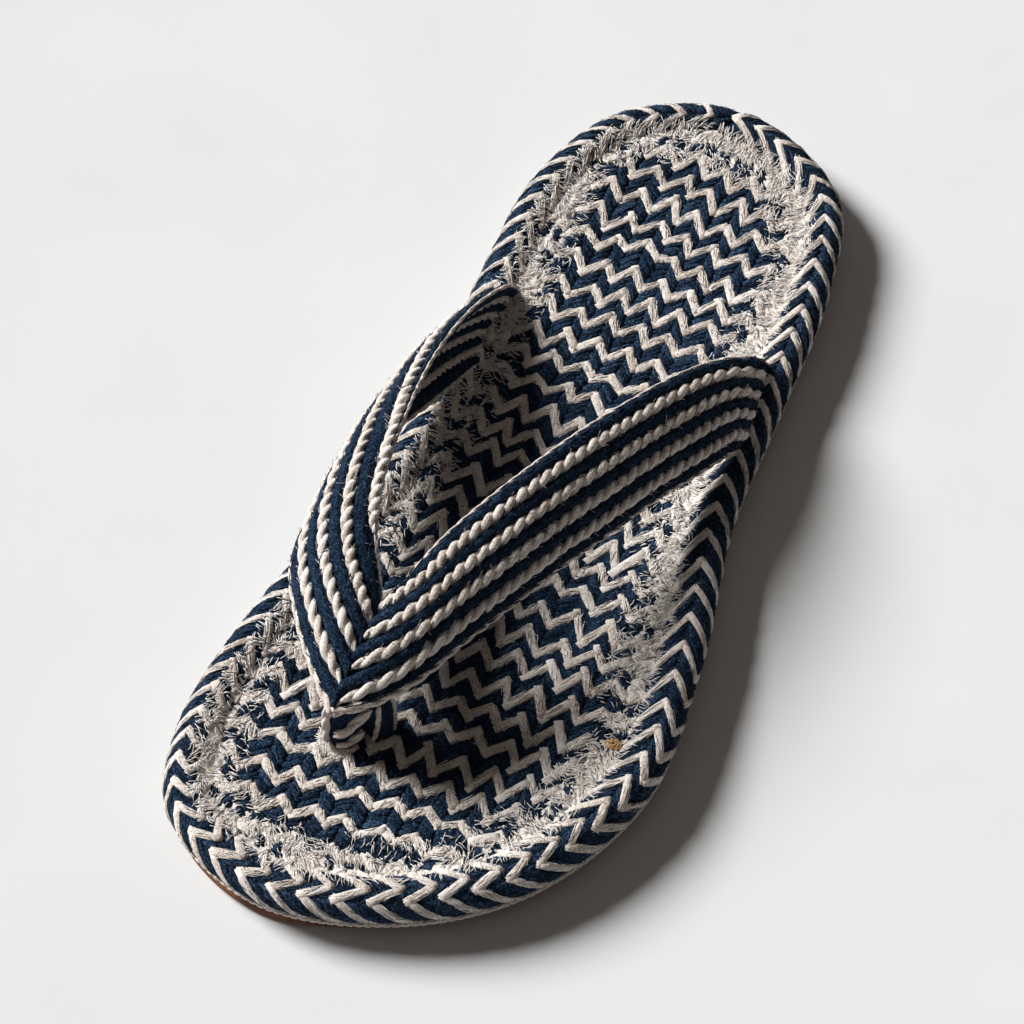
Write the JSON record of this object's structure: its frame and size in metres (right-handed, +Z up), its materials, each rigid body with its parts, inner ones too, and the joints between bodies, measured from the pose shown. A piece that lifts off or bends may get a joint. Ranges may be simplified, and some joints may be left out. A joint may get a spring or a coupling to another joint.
{
  "type": "thong slipper",
  "caption": "Left-foot thong slipper with a flat padded sole, a folded woven rim and two corded woven straps that meet in a toe post.",
  "frame": {"origin": "on the ground, at the middle of the sole's length and width", "axes": "+Y towards the heel, +X towards the outer (lateral) side of the left foot, +Z up"},
  "size_m": [0.1101, 0.27, 0.0417],
  "materials": {
    "outsole_leather": "smooth brown sole sheet, matt",
    "piping_cord": "cream cotton cord",
    "rim_weave": "navy and cream cotton, woven in a zigzag",
    "panel_weave": "navy and cream cotton, woven in a puffed zigzag with frayed ends",
    "strap_weave": "navy cotton band with four raised cream cords"
  },
  "bodies": {
    "root": {"outsole": "outsole_leather", "piping": "piping_cord", "edge_tape": "rim_weave", "footbed": "panel_weave", "thong_straps": "strap_weave"}
  },
  "joints": []
}
